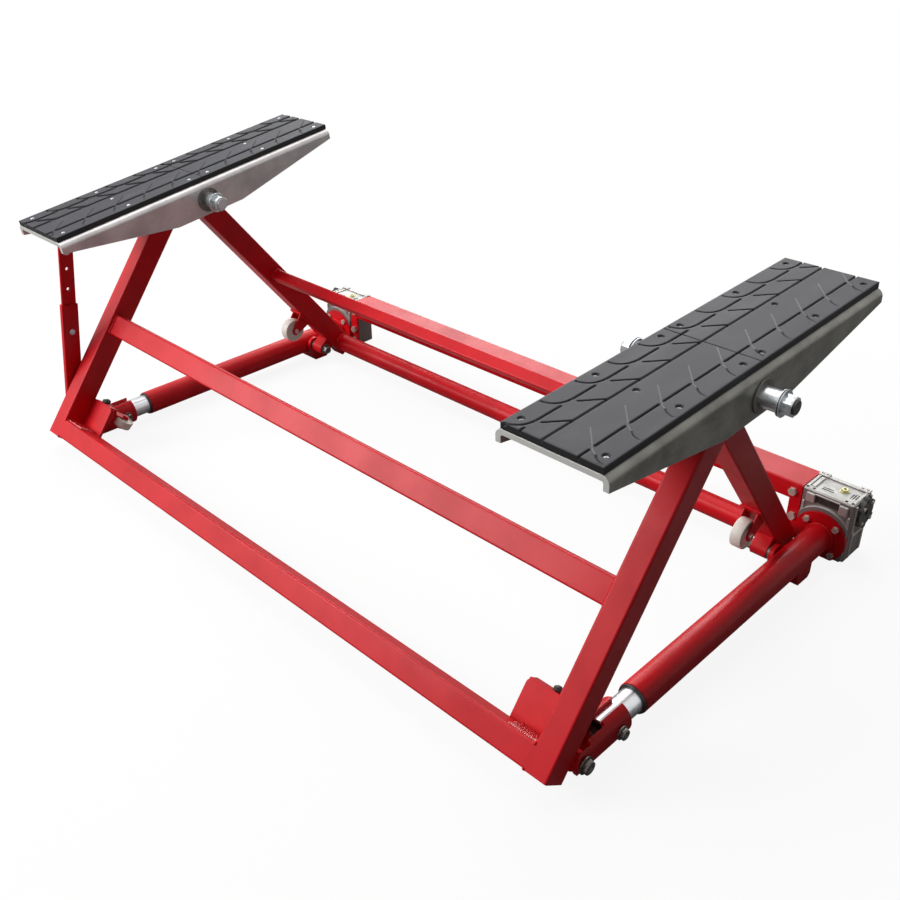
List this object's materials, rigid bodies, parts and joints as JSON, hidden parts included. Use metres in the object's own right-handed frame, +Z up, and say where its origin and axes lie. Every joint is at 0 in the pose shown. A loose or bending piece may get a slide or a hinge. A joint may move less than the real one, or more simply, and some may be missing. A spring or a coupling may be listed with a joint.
{
  "type": "portable car lift",
  "caption": "Low scissor-frame vehicle lift: two rubber-topped tilting platforms on folding red legs, driven by twin lead-screw spindles with worm gearboxes and a shared input.",
  "frame": {"origin": "on the floor under the middle of the lift's bounding box", "axes": "+X to the lift's right, along the crossbars; +Y rearwards, to the gearboxes; +Z up"},
  "size_m": [1.8114, 1.0259, 0.6976],
  "materials": {
    "red_paint": "glossy powder coat",
    "steel_channel": "rolled, satin",
    "rubber": "matte, moulded tread",
    "zinc": "zinc plated",
    "bright_steel": "ground",
    "dark_steel": "oiled",
    "cast_aluminium": "die-cast",
    "dark_cover": "matte",
    "black_bush": "smooth",
    "bronze": "machined",
    "brass_plug": "machined",
    "nylon": "moulded nylon"
  },
  "bodies": {
    "drive_unit": {"right_spindle_tube": "red_paint", "left_spindle_tube": "red_paint", "right_saddle_foot": "red_paint", "left_saddle_foot": "red_paint", "rear_pivot_studs": "zinc", "right_gearbox_case": "cast_aluminium", "left_gearbox_case": "cast_aluminium", "gearbox_output_covers": "cast_aluminium", "worm_end_covers": "dark_cover", "shaft_cover_tube": "red_paint", "drive_unit_bolts": "zinc", "oil_plugs": "brass_plug", "guide_bushes": "black_bush", "gearbox_bearings": "dark_steel"},
    "input_shaft": {"cross_shaft": "dark_steel", "worms": "dark_steel"},
    "right_screw": {"right_lead_screw": "dark_steel", "right_worm_wheel": "bronze"},
    "left_screw": {"left_lead_screw": "dark_steel", "left_worm_wheel": "bronze"},
    "rear_frame": {"right_rear_leg": "red_paint", "left_rear_leg": "red_paint", "rear_upper_crossbar": "red_paint", "rear_round_tube": "red_paint", "rear_pivot_lugs": "red_paint", "rear_caster_forks": "red_paint", "rear_caster_axles": "zinc"},
    "right_rear_caster_wheel": {"right_rear_wheel": "nylon"},
    "left_rear_caster_wheel": {"left_rear_wheel": "nylon"},
    "front_frame": {"right_front_leg": "red_paint", "left_front_leg": "red_paint", "front_bottom_crossbar": "red_paint", "front_mid_crossbar": "red_paint", "foot_brackets": "red_paint", "front_pivot_lugs": "red_paint", "caster_swivel_plates": "red_paint", "strut_hinge_stud": "red_paint"},
    "right_front_swivel": {"right_front_fork": "red_paint"},
    "left_front_swivel": {"left_front_fork": "red_paint"},
    "right_front_caster_wheel": {"right_front_wheel": "nylon"},
    "left_front_caster_wheel": {"left_front_wheel": "nylon"},
    "push_tubes": {"right_push_tube": "bright_steel", "left_push_tube": "bright_steel", "right_clevis": "red_paint", "left_clevis": "red_paint", "clevis_bolts": "zinc", "lead_nuts": "bronze"},
    "pivot_bolts": {"apex_bolts": "zinc", "apex_spacers": "zinc", "apex_nuts": "zinc"},
    "right_platform": {"right_platform_channel": "steel_channel", "right_tread_pads": "rubber", "right_pad_screws": "zinc"},
    "left_platform": {"left_platform_channel": "steel_channel", "left_tread_pads": "rubber", "left_pad_screws": "zinc"},
    "strut_outer": {"strut_outer_tube": "red_paint", "strut_lock_bolt": "zinc"},
    "strut_inner": {"strut_inner_tube": "red_paint", "strut_top_pin": "zinc"}
  },
  "joints": [
    {"name": "fold", "type": "hinge", "parent": "drive_unit", "child": "rear_frame", "pos_m": [0, 0.29138, 0.048], "axis": [1, 0, 0], "range_deg": [0, 40.41]},
    {"name": "apex_fold", "type": "hinge", "parent": "rear_frame", "child": "front_frame", "pos_m": [0, -0.0772, 0.58], "axis": [1, 0, 0], "range_deg": [-80.82, 0]},
    {"name": "push_pivot", "type": "hinge", "parent": "front_frame", "child": "push_tubes", "pos_m": [0, -0.4247, 0.034], "axis": [1, 0, 0], "range_deg": [0, 40.41]},
    {"name": "bolt_level", "type": "hinge", "parent": "rear_frame", "child": "pivot_bolts", "pos_m": [0, -0.0772, 0.58], "axis": [1, 0, 0], "range_deg": [-40.41, 0]},
    {"name": "right_tilt", "type": "hinge", "parent": "pivot_bolts", "child": "right_platform", "pos_m": [0, -0.0772, 0.58], "axis": [1, 0, 0], "range_deg": [-7.3, 5.95]},
    {"name": "left_tilt", "type": "hinge", "parent": "pivot_bolts", "child": "left_platform", "pos_m": [0, -0.0772, 0.58], "axis": [1, 0, 0], "range_deg": [-9.25, 0]},
    {"name": "input_turn", "type": "hinge", "parent": "drive_unit", "child": "input_shaft", "pos_m": [0, 0.46309, 0.11587], "axis": [1, 0, 0], "continuous": true},
    {"name": "right_screw_turn", "type": "hinge", "parent": "drive_unit", "child": "right_screw", "pos_m": [0.79, 0.29138, 0.048], "axis": [0, 0.9998, 0.0195], "continuous": true},
    {"name": "left_screw_turn", "type": "hinge", "parent": "drive_unit", "child": "left_screw", "pos_m": [-0.79, 0.29138, 0.048], "axis": [0, 0.9998, 0.0195], "continuous": true},
    {"name": "right_rear_roll", "type": "hinge", "parent": "rear_frame", "child": "right_rear_caster_wheel", "pos_m": [0.724, 0.19457, 0.13351], "axis": [1, 0, 0], "continuous": true},
    {"name": "left_rear_roll", "type": "hinge", "parent": "rear_frame", "child": "left_rear_caster_wheel", "pos_m": [-0.724, 0.19457, 0.13351], "axis": [1, 0, 0], "continuous": true},
    {"name": "right_front_swing", "type": "hinge", "parent": "front_frame", "child": "right_front_swivel", "pos_m": [0.698, -0.40866, 0.09668], "axis": [0, 0.7978, -0.603], "continuous": true},
    {"name": "left_front_swing", "type": "hinge", "parent": "front_frame", "child": "left_front_swivel", "pos_m": [-0.698, -0.40866, 0.09668], "axis": [0, 0.7978, -0.603], "continuous": true},
    {"name": "right_front_roll", "type": "hinge", "parent": "right_front_swivel", "child": "right_front_caster_wheel", "pos_m": [0.698, -0.38159, 0.06118], "axis": [1, 0, 0], "continuous": true},
    {"name": "left_front_roll", "type": "hinge", "parent": "left_front_swivel", "child": "left_front_caster_wheel", "pos_m": [-0.68641, -0.37623, 0.06827], "axis": [0.2588, 0.5824, 0.7706], "continuous": true},
    {"name": "strut_hinge", "type": "hinge", "parent": "front_frame", "child": "strut_outer", "pos_m": [-0.826, -0.42381, 0.12141], "axis": [1, 0, 0], "range_deg": [-29.7, 0]},
    {"name": "strut_slide", "type": "slide", "parent": "strut_outer", "child": "strut_inner", "axis": [0, 0.1322, 0.9912], "range_m": [0, 0.0477]}
  ],
  "couplings": [
    {"joint": "apex_fold", "follows": "fold", "ratio": -2},
    {"joint": "push_pivot", "follows": "fold", "ratio": 1},
    {"joint": "bolt_level", "follows": "fold", "ratio": -1},
    {"joint": "strut_hinge", "follows": "fold", "ratio": -0.73},
    {"joint": "right_screw_turn", "follows": "input_turn", "ratio": 0.066667},
    {"joint": "left_screw_turn", "follows": "input_turn", "ratio": 0.066667},
    {"joint": "strut_slide", "follows": "left_tilt", "m_per_rad": -0.283}
  ]
}
